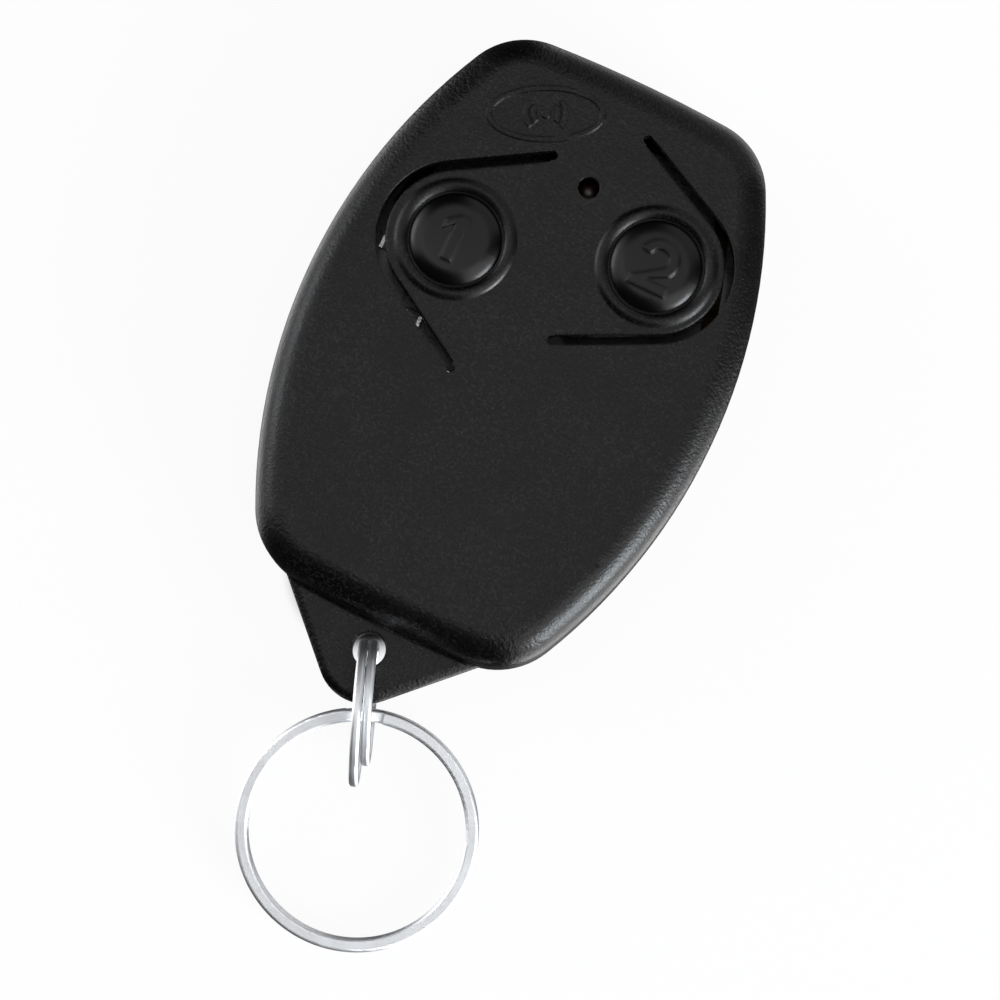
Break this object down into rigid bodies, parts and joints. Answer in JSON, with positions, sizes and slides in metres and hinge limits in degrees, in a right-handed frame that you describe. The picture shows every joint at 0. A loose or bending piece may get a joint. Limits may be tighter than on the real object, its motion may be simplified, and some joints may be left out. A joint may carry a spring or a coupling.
{
  "type": "gate remote control",
  "caption": "Pocket remote for a gate: black curved case with sprung domed buttons on tongues, lamp hole, and a lug holding a split link and a key ring.",
  "frame": {"origin": "middle of the flat back of the case, on the case's symmetry axis", "axes": "+X to the right of the front face, +Y towards the end away from the lug, +Z out of the front face"},
  "size_m": [0.043, 0.0898, 0.0144],
  "materials": {
    "case_plastic": "fine spark-eroded grain, matt near-black",
    "button_plastic": "same moulding as the case, the domed caps smooth and glossier",
    "screw_steel": "zinc-plated steel",
    "board_laminate": "black solder mask on glass laminate",
    "copper": "copper track under the black solder mask",
    "tin": "tinned, bright",
    "switch_plastic": "black moulded",
    "plunger_plastic": "black moulded",
    "sheet_steel": "stamped sheet",
    "lamp_red": "smoky dark red resin",
    "chip_black": "black moulding resin",
    "can_metal": "nickel-plated can",
    "coil_green": "dipped coating",
    "ceramic_tan": "ceramic",
    "battery_metal": "nickel-plated steel",
    "battery_sleeve": "plain shrink sleeve",
    "washer_black": "insulating washer",
    "contact_nickel": "nickel-plated spring steel",
    "ring_nickel": "bright nickel-plated spring steel"
  },
  "bodies": {
    "case": {"front_cover": "case_plastic", "rear_cover": "case_plastic", "case_screw": "screw_steel", "circuit_board": "board_laminate", "aerial_trace": "copper", "solder": "tin", "switch_1_base": "switch_plastic", "switch_1_frame": "sheet_steel", "switch_1_dome": "sheet_steel", "switch_1_terminals": "tin", "switch_2_base": "switch_plastic", "switch_2_frame": "sheet_steel", "switch_2_dome": "sheet_steel", "switch_2_terminals": "tin", "led_lens": "lamp_red", "led_leads": "tin", "encoder_chip": "chip_black", "encoder_leads": "tin", "resonator_can": "can_metal", "resonator_leads": "tin", "transistor": "chip_black", "transistor_leads": "tin", "inductor": "coil_green", "inductor_leads": "tin", "chip_resistors": "chip_black", "chip_capacitors": "ceramic_tan", "chip_end_caps": "tin", "battery_can": "battery_metal", "battery_sleeve": "battery_sleeve", "battery_washer": "washer_black", "battery_positive_nub": "battery_metal", "battery_contact_positive": "contact_nickel", "battery_contact_negative": "contact_nickel", "battery_spring": "contact_nickel"},
    "button_1": {"button_1": "button_plastic"},
    "button_2": {"button_2": "button_plastic"},
    "switch_1_plunger": {"switch_1_plunger": "plunger_plastic"},
    "switch_2_plunger": {"switch_2_plunger": "plunger_plastic"},
    "link_ring": {"link_ring": "ring_nickel"},
    "key_ring": {"key_ring": "ring_nickel"}
  },
  "joints": [
    {"name": "button_1_press", "type": "hinge", "parent": "case", "child": "button_1", "pos_m": [-0.0045, 0.0072, 0.0122], "axis": [0, -1, 0], "range_deg": [0, 3.44], "stiffness_Nm_per_rad": 0.16},
    {"name": "button_2_press", "type": "hinge", "parent": "case", "child": "button_2", "pos_m": [0.0032, 0.0132, 0.0122], "axis": [0, 1, 0], "range_deg": [0, 2.87], "stiffness_Nm_per_rad": 0.2},
    {"name": "switch_1_travel", "type": "slide", "parent": "case", "child": "switch_1_plunger", "axis": [0, 0, -1], "range_m": [0, 0.0003]},
    {"name": "switch_2_travel", "type": "slide", "parent": "case", "child": "switch_2_plunger", "axis": [0, 0, -1], "range_m": [0, 0.0003]},
    {"name": "link_ring_swing", "type": "hinge", "parent": "case", "child": "link_ring", "pos_m": [0, -0.0321, 0.0066], "axis": [0, 0, 1], "range_deg": [-61.4, 18.6]},
    {"name": "key_ring_lift", "type": "hinge", "parent": "link_ring", "child": "key_ring", "pos_m": [0.00226, -0.03787, 0.0037], "axis": [-0.9311, -0.3649, 0], "range_deg": [0, 90]}
  ],
  "couplings": [
    {"joint": "button_1_press", "follows": "switch_1_travel", "rad_per_m": 200},
    {"joint": "button_2_press", "follows": "switch_2_travel", "rad_per_m": 166.67}
  ]
}
